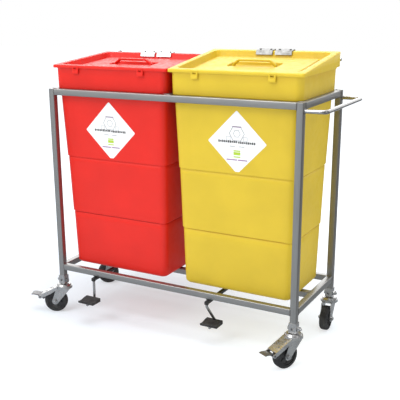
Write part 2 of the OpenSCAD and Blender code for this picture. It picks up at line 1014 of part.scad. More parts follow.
castor_axle(1);  // axle_front_right
castor_hub(1);  // hub_front_right
castor_tyre(1);  // tyre_front_right
brake_lever(1);  // brake_lever_front_right
castor_fork(2);  // fork_rear_left
castor_axle(2);  // axle_rear_left
castor_hub(2);  // hub_rear_left
castor_tyre(2);  // tyre_rear_left
castor_fork(3);  // fork_rear_right
castor_axle(3);  // axle_rear_right
castor_hub(3);  // hub_rear_right
castor_tyre(3);  // tyre_rear_right
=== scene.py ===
"""Looks of a two-bin pedal waste trolley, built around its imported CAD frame."""
import json
import math

import bmesh
import bpy
from mathutils import Matrix, Vector

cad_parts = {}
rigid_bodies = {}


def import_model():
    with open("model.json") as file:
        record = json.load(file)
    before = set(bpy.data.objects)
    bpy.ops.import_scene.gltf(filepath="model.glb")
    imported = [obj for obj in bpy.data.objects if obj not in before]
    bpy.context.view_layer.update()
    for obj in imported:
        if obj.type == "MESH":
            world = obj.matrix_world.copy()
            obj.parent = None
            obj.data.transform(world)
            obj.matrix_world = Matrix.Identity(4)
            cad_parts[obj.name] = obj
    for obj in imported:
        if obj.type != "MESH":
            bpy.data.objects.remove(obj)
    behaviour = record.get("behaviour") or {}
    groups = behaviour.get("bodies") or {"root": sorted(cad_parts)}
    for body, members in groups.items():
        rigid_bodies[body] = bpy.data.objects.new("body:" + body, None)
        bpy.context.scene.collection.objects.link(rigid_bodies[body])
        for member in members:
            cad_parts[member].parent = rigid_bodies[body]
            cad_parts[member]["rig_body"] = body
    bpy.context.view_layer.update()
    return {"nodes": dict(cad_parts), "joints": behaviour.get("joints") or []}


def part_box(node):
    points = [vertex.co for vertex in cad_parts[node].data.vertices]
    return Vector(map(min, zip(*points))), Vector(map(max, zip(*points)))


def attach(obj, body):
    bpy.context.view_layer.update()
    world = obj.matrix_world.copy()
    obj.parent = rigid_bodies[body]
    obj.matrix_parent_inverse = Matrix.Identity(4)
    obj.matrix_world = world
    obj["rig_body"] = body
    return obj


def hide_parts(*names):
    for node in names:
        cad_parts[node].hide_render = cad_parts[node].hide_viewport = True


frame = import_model()
nodes = frame["nodes"]

MM = 0.001
COLOURS = ("red", "yellow")
CORNERS = {"front_left": (-1, -1), "front_right": (1, -1), "rear_left": (-1, 1), "rear_right": (1, 1)}


# ---------- places, all read from the frame ----------

def middle(node):
    low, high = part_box(node)
    return (low + high) / 2


def half_size(node):
    low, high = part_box(node)
    return (high - low) / 2


CENTRE = Vector((middle("bottom_long_rails").x, middle("bottom_long_rails").y, 0))
TUBE = 2 * half_size("leg_front_left").x
RAIL_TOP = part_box("top_long_rails")[1].z
SHELF_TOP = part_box("bottom_long_rails")[1].z
LEG_X = middle("leg_front_right").x - CENTRE.x
LEG_Y = CENTRE.y - middle("leg_front_right").y
JOINTS = {joint["name"]: joint for joint in frame["joints"]}


def bin_centre(colour):
    spot = middle(colour + "_bin")
    return Vector((spot.x, spot.y, 0))


# ---------- procedural materials ----------

class Graph:
    """A short way to wire a material's nodes."""

    def __init__(self, name):
        self.material = bpy.data.materials.new(name)
        self.material.use_nodes = True
        self.tree = self.material.node_tree
        self.shader = self.tree.nodes["Principled BSDF"]
        self.space = self.tree.nodes.new("ShaderNodeTexCoord").outputs["Object"]

    def node(self, kind, **settings):
        made = self.tree.nodes.new(kind)
        for key, value in settings.items():
            setattr(made, key, value)
        return made

    def link(self, source, target):
        self.tree.links.new(source, target)

    def stretched(self, scale):
        mapping = self.node("ShaderNodeMapping")
        mapping.inputs["Scale"].default_value = scale
        self.link(self.space, mapping.inputs["Vector"])
        return mapping.outputs["Vector"]

    def noise(self, scale, detail=3.0, rough=0.5, vector=None):
        made = self.node("ShaderNodeTexNoise")
        made.inputs["Scale"].default_value = scale
        made.inputs["Detail"].default_value = detail
        made.inputs["Roughness"].default_value = rough
        self.link(vector or self.space, made.inputs["Vector"])
        return made.outputs["Fac"]

    def spread(self, value, low, high, start=0.3, end=0.7):
        made = self.node("ShaderNodeMapRange")
        made.inputs["From Min"].default_value = start
        made.inputs["From Max"].default_value = end
        made.inputs["To Min"].default_value = low
        made.inputs["To Max"].default_value = high
        self.link(value, made.inputs["Value"])
        return made.outputs["Result"]

    def mix(self, factor, first, second):
        """A colour between two; sockets 6 and 7 and output 2 are the Mix node's colour ones."""
        made = self.node("ShaderNodeMix", data_type="RGBA")
        self.link(factor, made.inputs["Factor"])
        for socket, value in ((made.inputs[6], first), (made.inputs[7], second)):
            if isinstance(value, tuple):
                socket.default_value = (*value, 1)
            else:
                self.link(value, socket)
        return made.outputs[2]

    def bump(self, height, strength, distance):
        made = self.node("ShaderNodeBump")
        made.inputs["Strength"].default_value = strength
        made.inputs["Distance"].default_value = distance
        self.link(height, made.inputs["Height"])
        self.link(made.outputs["Normal"], self.shader.inputs["Normal"])

    def set(self, **values):
        for key, value in values.items():
            self.shader.inputs[key.replace("_", " ")].default_value = value


def shade(colour, factor):
    return tuple(min(1.0, channel * factor) for channel in colour)


def moulded_plastic(name, colour, crease_shade_colour):
    """Rotation-moulded polyethylene: faint mottling, orange-peel skin, a painted highlight on convex edges
    and painted shade in creases.
    """
    graph = Graph(name)
    mottle = graph.noise(9, detail=4)
    body = graph.mix(graph.spread(mottle, 0, 1), shade(colour, 0.95), shade(colour, 1.05))
    pointed = graph.node("ShaderNodeNewGeometry").outputs["Pointiness"]
    # Painted highlight: convex edges, found by pointiness, get a lighter colour.
    lightened = graph.mix(graph.spread(pointed, 0, 0.35, 0.505, 0.56), body, shade(colour, 1.12))
    # Painted shade: creases and grooves, found by pointiness, get the darker crease colour.
    shaded_creases = graph.mix(graph.spread(pointed, 0.55, 0, 0.44, 0.495), lightened, crease_shade_colour)
    graph.link(shaded_creases, graph.shader.inputs["Base Color"])
    graph.link(graph.spread(graph.noise(60, detail=5), 0.34, 0.48), graph.shader.inputs["Roughness"])
    graph.bump(graph.noise(420, detail=2), 0.10, 0.0006)
    graph.set(IOR=1.5, Specular_IOR_Level=0.3, Subsurface_Weight=0.06, Subsurface_Scale=0.01)
    graph.shader.inputs["Subsurface Radius"].default_value = colour
    return graph.material


def brushed_steel(name, colour, along, rough=(0.38, 0.50)):
    """Stainless tube polished with a belt, so that the grain runs along it."""
    graph = Graph(name)
    grain_scale = [900, 900, 900]
    grain_scale["XYZ".index(along)] = 14
    grain = graph.noise(1, detail=3, vector=graph.stretched(grain_scale))
    cloud = graph.noise(7, detail=3)
    streaked = graph.mix(graph.spread(grain, 0, 1), shade(colour, 0.90), shade(colour, 1.10))
    stained = graph.mix(graph.spread(cloud, 0, 0.3), streaked, shade(colour, 0.8))
    graph.link(stained, graph.shader.inputs["Base Color"])
    graph.link(graph.spread(grain, *rough), graph.shader.inputs["Roughness"])
    graph.bump(grain, 0.05, 0.0002)
    graph.set(Metallic=1.0)
    return graph.material


def plated_metal(name, colour, rough=(0.22, 0.4), dull=0.75):
    """Zinc or nickel plate: spangled patches, light scratches and darker patches at random, which are dirt
    and, on the castors, painted dark reflections.
    """
    graph = Graph(name)
    patches = graph.node("ShaderNodeTexVoronoi")
    patches.inputs["Scale"].default_value = 160
    graph.link(graph.space, patches.inputs["Vector"])
    spangle = graph.mix(patches.outputs["Distance"], shade(colour, 1.06), shade(colour, 0.88))
    # Darker patches at random: dirt, and on the castors, where dull is lower, painted dark reflections.
    grime_and_painted_reflection = graph.spread(graph.noise(45, detail=5), 0, 0.5, 0.45, 0.75)
    grimy_and_reflected = graph.mix(grime_and_painted_reflection, spangle, shade(colour, dull))
    graph.link(grimy_and_reflected, graph.shader.inputs["Base Color"])
    graph.link(graph.spread(graph.noise(120, detail=4), *rough), graph.shader.inputs["Roughness"])
    graph.bump(graph.noise(600, detail=3), 0.06, 0.0002)
    graph.set(Metallic=1.0)
    return graph.material


def rubber(name, colour, dust, rough=(0.6, 0.85), grain=350):
    """Moulded rubber or filled plastic with a thin film of dust."""
    graph = Graph(name)
    film = graph.spread(graph.noise(30, detail=6, rough=0.65), 0, 1, 0.42, 0.72)
    dusty = graph.mix(film, colour, dust)
    graph.link(dusty, graph.shader.inputs["Base Color"])
    graph.link(graph.spread(graph.noise(90, detail=4), *rough), graph.shader.inputs["Roughness"])
    graph.bump(graph.noise(grain, detail=3), 0.25, 0.0004)
    return graph.material


def painted(name, colour, chip):
    """Powder coat with a fine texture and a few rubbed spots."""
    graph = Graph(name)
    lightened = graph.spread(graph.noise(70, detail=6, rough=0.7), 0, 0.6, 0.62, 0.75)
    graph.link(graph.mix(lightened, colour, chip), graph.shader.inputs["Base Color"])
    graph.link(graph.spread(graph.noise(200), 0.35, 0.55), graph.shader.inputs["Roughness"])
    graph.bump(graph.noise(900, detail=2), 0.2, 0.0002)
    return graph.material


def film(name, colour, rough=(0.22, 0.34)):
    """Printed adhesive film: nearly even, with faint waves."""
    graph = Graph(name)
    graph.link(graph.mix(graph.spread(graph.noise(25), 0, 1), shade(colour, 0.97), colour),
               graph.shader.inputs["Base Color"])
    graph.link(graph.spread(graph.noise(80), *rough), graph.shader.inputs["Roughness"])
    graph.bump(graph.noise(40, detail=1), 0.05, 0.0005)
    return graph.material


RED = (0.72, 0.017, 0.009)
YELLOW = (0.67, 0.475, 0.030)
STEEL = (0.35, 0.35, 0.345)
# Each plastic's third colour is its painted shade in creases.
PLASTIC = {"red": moulded_plastic("red_polyethylene", RED, (0.40, 0.008, 0.006)),
           "yellow": moulded_plastic("yellow_polyethylene", YELLOW, (0.50, 0.26, 0.01))}
GRAIN = {axis: brushed_steel("brushed_steel_" + axis.lower(), STEEL, axis) for axis in "XYZ"}
ROD = plated_metal("polished_rod", (0.46, 0.46, 0.46), rough=(0.16, 0.30), dull=0.7)
ZINC = plated_metal("zinc_plate", (0.50, 0.50, 0.50))
# The yellow lid's clips get a darker, rougher copy of the same zinc: painted shade for their darker
# reflections.
CLIP_ZINC_WITH_SHADED_COPY = {"red": plated_metal("bright_zinc", (0.62, 0.62, 0.62)),
             "yellow": plated_metal("clip_zinc_painted_shade", (0.24, 0.24, 0.235), rough=(0.3, 0.5))}
# The castors' zinc takes darker patches than the rest: painted dark reflections beside dirt.
CASTOR_ZINC = plated_metal("pressed_zinc", (0.56, 0.56, 0.555), rough=(0.20, 0.38), dull=0.5)
BRAKE_STEEL = plated_metal("dark_plate", (0.20, 0.20, 0.205), rough=(0.3, 0.5), dull=0.6)
WELD = plated_metal("weld_bead", (0.34, 0.33, 0.32), rough=(0.3, 0.55), dull=0.7)
PAD = rubber("pedal_rubber", (0.016, 0.016, 0.017), (0.05, 0.05, 0.049))
TYRE = rubber("tyre_rubber", (0.016, 0.016, 0.017), (0.05, 0.05, 0.048))
HUB = rubber("hub_plastic", (0.035, 0.035, 0.037), (0.08, 0.08, 0.078), rough=(0.4, 0.6))
BLACK_PAINT = painted("black_paint", (0.012, 0.012, 0.013), (0.09, 0.09, 0.09))
LABEL_WHITE = film("label_white", (0.90, 0.90, 0.89))
LABEL_INK = {"grey": film("ink_grey", (0.33, 0.34, 0.36)),
             "black": film("ink_black", (0.02, 0.02, 0.022)),
             "green": film("ink_green", (0.42, 0.62, 0.03)),
             "purple": film("ink_purple", (0.30, 0.16, 0.34))}


# ---------- mesh tools ----------

def piece(name, verts, faces, material, body, stands_for=(), slot=None, angle=35):
    """A new mesh object in the row frame, shaded smooth except at sharp edges."""
    data = bpy.data.meshes.new(name)
    data.from_pydata([tuple(v) for v in verts], [], faces)
    return dress(name, data, material, body, stands_for, angle)


def dress(name, data, material, body, stands_for=(), angle=35):
    shell = bmesh.new()
    shell.from_mesh(data)
    bmesh.ops.recalc_face_normals(shell, faces=shell.faces)
    shell.to_mesh(data)
    shell.free()
    data.shade_smooth()
    data.set_sharp_from_angle(angle=math.radians(angle))
    obj = bpy.data.objects.new(name, data)
    bpy.context.scene.collection.objects.link(obj)
    data.materials.append(material)
    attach(obj, body)
    if stands_for:
        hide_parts(*stands_for)
    return obj


def soften(obj, width, segments=2, angle=40):
    """Rounds an object's hard edges."""
    made = obj.modifiers.new("rounded_edges", "BEVEL")
    made.width = width
    made.segments = segments
    made.limit_method = "ANGLE"
    made.angle_limit = math.radians(angle)


def join(parts):
    """One (verts, faces) pair out of several."""
    verts, faces = [], []
    for more_verts, more_faces in parts:
        base = len(verts)
        verts += more_verts
        faces += [tuple(base + i for i in face) for face in more_faces]
    return verts, faces


def loft(rings, wrap=False):
    """Skin over closed rings of equally many points, capped at both ends or wrapped onto itself."""
    count = len(rings[0])
    verts = [point for ring in rings for point in ring]
    faces = []
    spans = len(rings) if wrap else len(rings) - 1
    for i in range(spans):
        a, b = i * count, (i + 1) % len(rings) * count
        faces += [(a + k, a + (k + 1) % count, b + (k + 1) % count, b + k) for k in range(count)]
    if not wrap:
        faces.append(tuple(reversed(range(count))))
        faces.append(tuple(range(len(verts) - count, len(verts))))
    return verts, faces


def rounded_outline(hx, hy, r, steps=8, flats=1):
    """Points round a rectangle with round corners; flats splits each straight side."""
    corners = []
    for quarter, (sx, sy) in enumerate(((1, 1), (-1, 1), (-1, -1), (1, -1))):
        turns = [math.pi / 2 * (quarter + k / steps) for k in range(steps + 1)]
        corners.append([(sx * (hx - r) + r * math.cos(t), sy * (hy - r) + r * math.sin(t)) for t in turns])
    points = []
    for corner, following in zip(corners, corners[1:] + corners[:1]):
        (x0, y0), (x1, y1) = corner[-1], following[0]
        points += corner
        points += [(x0 + (x1 - x0) * k / flats, y0 + (y1 - y0) * k / flats) for k in range(1, flats)]
    return points


def normals_along(path, side):
    """A normal at each point of a planar path square to side, stretched at corners as a mitre needs."""
    result = []
    for i, point in enumerate(path):
        before = path[max(i - 1, 0)]
        after = path[min(i + 1, len(path) - 1)]
        into = (point - before).normalized() if i else (after - point).normalized()
        out = (after - point).normalized() if i < len(path) - 1 else into
        tangent = (into + out).normalized()
        stretch = 1 / max(0.3, tangent.dot(out))
        result.append(side.cross(tangent).normalized() * stretch)
    return result


def sweep(path, section, side):
    """Carries a flat section, in (normal, side) coordinates, along a planar path."""
    rings = []
    for point, normal in zip(path, normals_along(path, side)):
        rings.append([point + normal * n + side * s for n, s in section])
    return loft(rings)


NEARLY_STRAIGHT = 3.1


def filleted(points, radius, steps=6):
    """A polyline whose inner corners are rounded; points that hardly turn it are dropped."""
    result = [points[0]]
    for before, point, after in zip(points, points[1:], points[2:]):
        back = (before - point).normalized()
        onward = (after - point).normalized()
        turn = back.angle(onward)
        if turn > NEARLY_STRAIGHT:
            continue
        shorter = min((before - point).length, (after - point).length)
        reach = min(radius / math.tan(turn / 2), 0.49 * shorter)
        r = reach * math.tan(turn / 2)
        hub = point + (back + onward).normalized() * (r / math.sin(turn / 2))
        first, last = point + back * reach, point + onward * reach
        for k in range(steps + 1):
            swing = (first - hub).normalized().slerp((last - hub).normalized(), k / steps)
            result.append(hub + swing * r)
    result.append(points[-1])
    return result


def circle_section(r, count=20):
    turns = [2 * math.pi * k / count for k in range(count)]
    return [(r * math.cos(t), r * math.sin(t)) for t in turns]


def lathe(profile, centre, axis, count=64, wrap=False):
    """Turns (distance along axis, radius) points round an axis through centre."""
    axis = axis.normalized()
    u = axis.orthogonal().normalized()
    v = axis.cross(u)
    rings = []
    for along, r in profile:
        rings.append([centre + axis * along + u * a + v * b for a, b in circle_section(r, count)])
    return loft(rings, wrap)


def smooth_step(value, low, high):
    t = min(1.0, max(0.0, (value - low) / (high - low)))
    return t * t * (3 - 2 * t)


def bead_loop(loop, axis, r, ripple=0.22, count=6):
    """A closed weld bead laid round a loop of points whose plane is square to axis."""
    rings = []
    for i, point in enumerate(loop):
        tangent = (loop[(i + 1) % len(loop)] - loop[i - 1]).normalized()
        outward = tangent.cross(axis).normalized()
        size = r * (1 + ripple * math.sin(i * 2.4))
        rings.append([point + outward * a + axis * b for a, b in circle_section(size, count)])
    return loft(rings, wrap=True)


def refined(node, material, width, segments=2):
    """A copy of a CAD node with flat faces merged and edges rounded, which replaces it."""
    shell = bmesh.new()
    shell.from_mesh(nodes[node].data)
    bmesh.ops.remove_doubles(shell, verts=shell.verts, dist=1e-6)
    bmesh.ops.dissolve_limit(shell, angle_limit=math.radians(0.6), verts=shell.verts, edges=shell.edges)
    data = bpy.data.meshes.new(node + "_shape")
    shell.to_mesh(data)
    shell.free()
    obj = dress(node + "_shape", data, material, nodes[node]["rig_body"], (node,))
    soften(obj, width, segments)


# ---------- frame: square tubes, welds and push handle ----------

TUBE_CORNER = 2.2 * MM


def tube_ring(axis, spot, along, grow=0.0, steps=4, flats=1):
    """A square tube's outline at one place along axis; spot is its place on the other two axes."""
    across = [i for i in range(3) if i != axis]
    half = TUBE / 2 + grow
    ring = []
    for a, b in rounded_outline(half, half, TUBE_CORNER, steps, flats):
        point = Vector((0, 0, 0))
        point[axis] = along
        point[across[0]] = spot[0] + a
        point[across[1]] = spot[1] + b
        ring.append(CENTRE + point)
    return ring


def bars(axis, spots, start, end):
    """Round-edged square tubes along X, Y or Z, one for each spot."""
    return join([loft([tube_ring(axis, spot, along) for along in (start, end)]) for spot in spots])


def end_weld(axis, spot, along):
    """The weld bead round the end of a square tube."""
    normal = Vector([1.0 if i == axis else 0.0 for i in range(3)])
    return bead_loop(tube_ring(axis, spot, along, grow=0.3 * MM, steps=3, flats=9), normal, 1.1 * MM)


def build_frame():
    top_z = RAIL_TOP - TUBE / 2
    low_z = SHELF_TOP - TUBE / 2
    end_x = LEG_X - TUBE / 2
    end_y = LEG_Y - TUBE / 2
    mid_x = middle("top_short_rails").x - CENTRE.x
    spine_y = middle("pivot_pins").y - CENTRE.y
    for name, (side, depth) in CORNERS.items():
        node = "leg_" + name
        low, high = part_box(node)
        verts, faces = bars(2, [(side * LEG_X, depth * LEG_Y)], low.z, high.z)
        caps = ("leg_caps",) if name == "front_left" else ()
        obj = piece(node + "_tube", verts, faces, GRAIN["Z"], "frame", (node, *caps), "stainless_tube")
        soften(obj, 0.5 * MM, angle=60)
    rails = {
        "top_long_rails": (0, [(-LEG_Y, top_z), (LEG_Y, top_z)], end_x),
        "top_short_rails": (1, [(-LEG_X, top_z), (mid_x, top_z), (LEG_X, top_z)], end_y),
        "bottom_long_rails": (0, [(-LEG_Y, low_z), (spine_y, low_z), (LEG_Y, low_z)], end_x),
        "bottom_short_rails": (1, [(-LEG_X, low_z), (LEG_X, low_z)], end_y)}
    beads = []
    for node, (axis, spots, end) in rails.items():
        verts, faces = bars(axis, spots, -end, end)
        piece(node + "_tube", verts, faces, GRAIN["XYZ"[axis]], "frame", (node,), "stainless_tube")
        beads += [end_weld(axis, spot, side * end) for spot in spots for side in (-1, 1)]
    piece("frame_welds", *join(beads), WELD, "frame", slot="stainless_tube", angle=80)


def build_push_handle():
    low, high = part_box("push_handle")
    r = half_size("push_handle").z
    z = middle("push_handle").z
    bar_x = high.x - r
    corners = [Vector((low.x, low.y + r, z)), Vector((bar_x, low.y + r, z)),
               Vector((bar_x, high.y - r, z)), Vector((low.x, high.y - r, z))]
    path = filleted(corners, 14 * MM, steps=12)
    verts, faces = sweep(path, circle_section(r, 28), Vector((0, 0, 1)))
    piece("push_handle_rod", verts, faces, ROD, "frame", ("push_handle",), "stainless_tube")
    beads = []
    for end in (corners[0], corners[-1]):
        loop = [end + Vector((1.0 * MM, y, z)) for y, z in circle_section(r + 0.6 * MM, 30)]
        beads.append(bead_loop(loop, Vector((1, 0, 0)), 1.4 * MM))
    piece("push_handle_welds", *join(beads), WELD, "frame", slot="stainless_tube", angle=80)


# ---------- bins ----------

class Bin:
    """Sizes of one bin in millimetres about its own centre; pairs are half sizes along X and Y."""
    foot = (181, 121)
    neck = (200, 146)
    foot_z = 178
    neck_z = 780
    steps = (365, 556)
    step_in = 2.0
    step_from = 184
    corner = 22
    wall = 3
    panel = (-154, 154, 550, 750)
    panel_depth = 1.2
    panel_edge = 5

    @classmethod
    def half(cls, z):
        """The wall's even taper from foot to neck."""
        share = (z - cls.foot_z) / (cls.neck_z - cls.foot_z)
        return [low + (high - low) * share for low, high in zip(cls.foot, cls.neck)]

    @classmethod
    def inset(cls, z):
        """How far the wall falls behind that taper, growing up to the step above."""
        low, high = cls.steps
        if z < low:
            return cls.step_in * max(0, z - cls.step_from) / (low - cls.step_from)
        if z < high:
            return cls.step_in * (z - low) / (high - low)
        return 0

    @classmethod
    def level(cls, z, inset=0, r=None, carve=False):
        """Height, half sizes, corner radius and whether the label panel is carved there."""
        hx, hy = cls.half(z)
        return z, hx - inset, hy - inset, cls.corner if r is None else r, carve


def bin_ring(centre, z, hx, hy, r, carve):
    """One level of a bin wall; carve sinks the shallow label panel into the front."""
    ring = []
    x0, x1, z0, z1 = Bin.panel
    edge = Bin.panel_edge
    for x, y in rounded_outline(hx, hy, r, steps=8, flats=36):
        if carve and y < -hy + 0.5:
            depth = (smooth_step(x, x0, x0 + edge) * smooth_step(-x, -x1, -x1 + edge)
                     * smooth_step(z, z0, z0 + edge) * smooth_step(-z, -z1, -z1 + edge))
            y += Bin.panel_depth * depth
        ring.append(centre + Vector((x, y, z)) * MM)
    return ring


def foot_levels():
    """The round edge under the bin, from its flat bottom to the wall."""
    fillet = 13
    levels = []
    for k in range(8):
        turn = math.pi / 2 * k / 7
        inset = fillet * (1 - math.sin(turn))
        z = Bin.foot_z + fillet * (1 - math.cos(turn))
        levels.append(Bin.level(z, inset, Bin.corner - inset * 0.8))
    return levels


def wall_levels():
    """The outer wall with its two step grooves, and the panel for the label above them."""
    low, high = Bin.steps
    groove = ((-4.2, 3.0), (-3.4, 4.0), (-0.6, 4.0), (0, 3.2), (0.3, 0.7), (1.0, 0.15), (2.2, 0))
    levels = []
    for edge, start in ((low, 200), (high, low + 14)):
        levels += [Bin.level(z, Bin.inset(z)) for z in [*range(start, edge - 8, 20), edge - 5.2]]
        levels += [Bin.level(edge + rise, inset) for rise, inset in groove]
    return levels + [Bin.level(z, carve=True) for z in [*range(high + 12, 770, 6), 774]]


def collar_levels():
    """The collar above the neck, up its outside, over the beaded rim and down its inside."""
    outside = [(777.5, 199.9, 145.9), (779.2, 200.5, 146.3), (780.0, 201.5, 146.8),
               (780.0, 204.6, 147.2), (780.4, 205.6, 147.7), (781.8, 206.0, 148.0),
               (800, 206.4, 148.05), (822, 206.9, 148.1), (843.5, 207.3, 148.15)]
    rim = [(844.4, 207.8, 148.5), (844.9, 208.9, 149.2), (846, 209.4, 149.4),
           (848.4, 209.4, 149.4), (849.6, 208.6, 148.7), (850.0, 207.2, 147.5),
           (849.8, 205.6, 146.1), (848.8, 204.7, 145.4)]
    inside = [(800, 203.6, 145.1), (785, 203.2, 145.0), (783.2, 202.4, 144.6),
              (783.0, 200.0, 143.8), (782.6, 198.2, 143.2), (780, 197.2, 143.0)]
    return [(z, hx, hy, Bin.corner, False) for z, hx, hy in outside + rim + inside]


def inner_levels():
    """The inner wall, a little thicker towards the foot, and its round run into the floor."""
    floor_fillet_z = 192
    levels = []
    for z in (600, 400, 200, 192, 186, 182.4, 181.2, 181):
        inset = Bin.wall + 1.8 * (Bin.neck_z - z) / 600 + max(0, floor_fillet_z - z) ** 2 / 11
        levels.append(Bin.level(z, inset, Bin.corner - Bin.wall - min(14, inset * 0.5)))
    return levels


def build_bin(colour):
    centre = bin_centre(colour)
    levels = foot_levels() + wall_levels() + collar_levels() + inner_levels()
    rings = [bin_ring(centre, *level) for level in levels]
    piece(colour + "_bin_shell", *loft(rings), PLASTIC[colour], "frame", (colour + "_bin",),
          colour + "_plastic", angle=50)


# ---------- labels: a plain white diamond with bars and blocks instead of any wording ----------

class Label:
    """Sizes of a label in millimetres, in the diamond's own plane."""
    half_side = 66.5
    corner = 3.5
    thick = 0.5
    centre_z = 651
    ink = 0.08
    lean = math.atan2(Bin.neck[1] - Bin.foot[1], Bin.neck_z - Bin.foot_z)


def label_point(colour, across, up, out):
    """A point on the leaning front wall, measured from the label's centre."""
    face = -Bin.half(Label.centre_z)[1] + Bin.panel_depth
    lean = Label.lean
    offset = Vector((across, face - up * math.sin(lean) - out * math.cos(lean),
                     Label.centre_z + up * math.cos(lean) - out * math.sin(lean)))
    return Vector((middle(colour + "_label").x, CENTRE.y, 0)) + offset * MM


def label_patch(colour, outline, out, thick):
    """A flat patch of film over an outline of (across, up) points."""
    rings = [[label_point(colour, x, y, w) for x, y in outline] for w in (out, out + thick)]
    return loft(rings)


def label_bar(colour, x, y, width, height, out):
    outline = [(x + a, y + b) for a, b in rounded_outline(width / 2, height / 2, min(0.6, height / 3), 3)]
    return label_patch(colour, outline, out, Label.ink)


def label_ring(colour, x, y, r, width, sides, out):
    """A thin outline of a regular shape with this many sides."""
    rings = []
    turns = [2 * math.pi * (k + 0.5) / sides for k in range(sides)]
    top = out + Label.ink
    for radius, w in ((r, out), (r, top), (r - width, top), (r - width, out)):
        rings.append([label_point(colour, x + radius * math.sin(t), y + radius * math.cos(t), w)
                      for t in turns])
    return loft(rings, wrap=True)


def build_label(colour):
    turned = []
    for a, b in rounded_outline(Label.half_side, Label.half_side, Label.corner, steps=6, flats=6):
        turned.append(((a - b) / math.sqrt(2), (a + b) / math.sqrt(2)))
    card = label_patch(colour, turned, 0.05, Label.thick)
    piece(colour + "_label_card", *card, LABEL_WHITE, "frame", (colour + "_label",), "label_white")
    top = 0.03 + Label.thick
    words = []
    for start, count in ((-60, 10), (4, 9)):
        for k in range(count):
            height = 7.0 if (k * 5 + count) % 3 else 5.6
            words.append(label_bar(colour, start + 6.2 * k + 2.4, 1.5 - 1.0 * (start > 0), 4.6, height, top))
    piece(colour + "_label_bars", *join(words), LABEL_INK["black"], "frame", slot="label_white")
    outlines = [label_ring(colour, 0, 26, 25, 2.2, 6, top), label_ring(colour, 0, 26, 12, 1.8, 6, top),
                label_ring(colour, -27, 11, 9, 1.6, 4, top), label_ring(colour, 27, 11, 9, 1.6, 4, top),
                label_bar(colour, -15, -12, 18, 2.0, top), label_bar(colour, 15, -12, 18, 2.0, top)]
    piece(colour + "_label_outlines", *join(outlines), LABEL_INK["grey"], "frame", slot="label_white")
    blocks = [label_bar(colour, 0, y, 22, height, top) for y, height in ((-25, 4), (-33, 9), (-43, 3.5))]
    piece(colour + "_label_blocks", *join(blocks), LABEL_INK["green"], "frame", slot="label_white")
    strips = [label_bar(colour, 0, 46, 30, 3.2, top), label_bar(colour, -17, -52, 34, 3.4, top),
              label_bar(colour, 18, -52, 30, 3.4, top)]
    piece(colour + "_label_strips", *join(strips), LABEL_INK["purple"], "frame", slot="label_white")


# ---------- lids ----------

